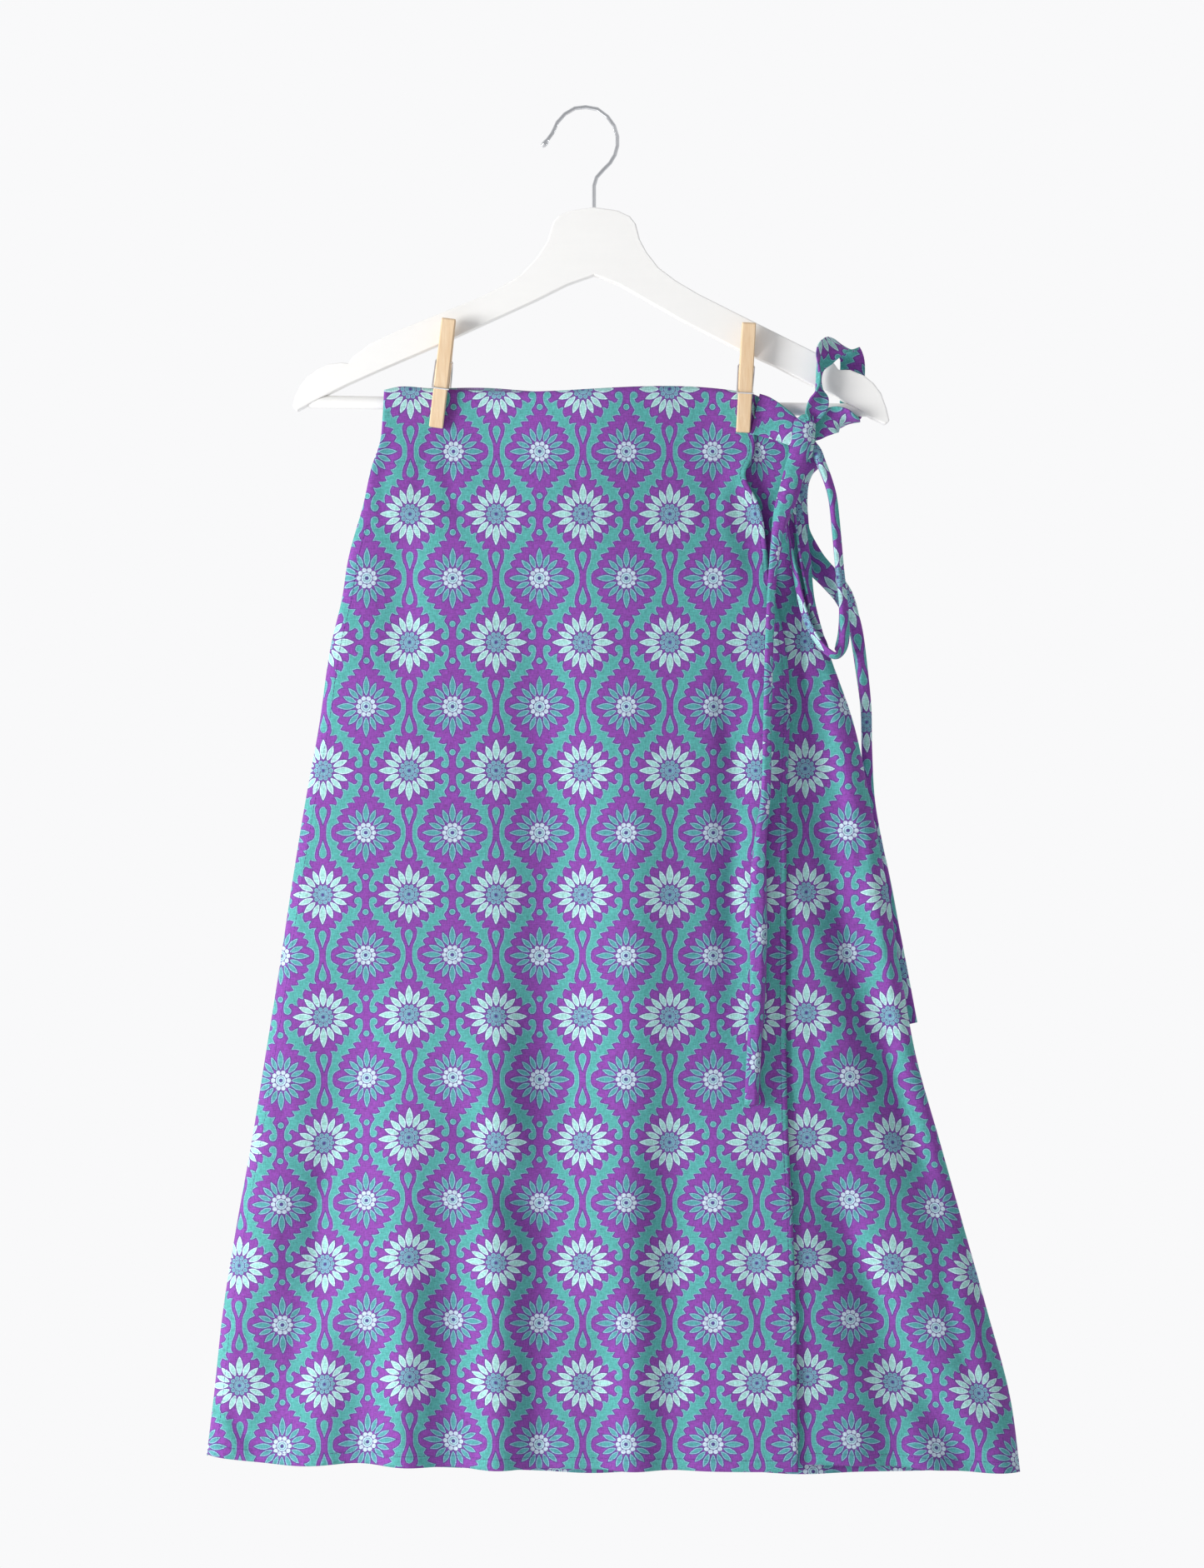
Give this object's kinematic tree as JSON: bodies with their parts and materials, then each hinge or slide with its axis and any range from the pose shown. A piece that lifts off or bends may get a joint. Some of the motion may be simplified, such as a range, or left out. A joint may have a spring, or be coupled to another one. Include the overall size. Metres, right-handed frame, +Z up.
{
  "type": "wrap skirt on hanger",
  "caption": "Long wrap skirt in printed cloth, pegged flat on a wooden hanger, with its ties in a bow at the hanger's tip.",
  "frame": {"origin": "inner top of the hanger's hook, where a rail carries it", "axes": "+X to the right as seen from the front, +Y away from the viewer towards the wall, +Z up"},
  "size_m": [0.5837, 0.0769, 0.9864],
  "materials": {
    "printed_cloth": "matt woven cotton, printed",
    "white_paint": "satin white paint on wood",
    "steel_wire": "bright wire",
    "peg_wood": "bare pale wood"
  },
  "bodies": {
    "root": {"front_over_panel": "printed_cloth", "front_under_panel": "printed_cloth", "back_panel": "printed_cloth", "tie_stub": "printed_cloth", "tie_knot": "printed_cloth", "tie_loop_hanger": "printed_cloth", "tie_loop_side": "printed_cloth", "tie_tail_front": "printed_cloth", "tie_tail_side": "printed_cloth", "hanger_body": "white_paint", "hanger_bar": "white_paint", "hanger_hook": "steel_wire", "peg_left_front_leg": "peg_wood", "peg_left_back_leg": "peg_wood", "peg_left_spring": "steel_wire", "peg_right_front_leg": "peg_wood", "peg_right_back_leg": "peg_wood", "peg_right_spring": "steel_wire"}
  },
  "joints": []
}
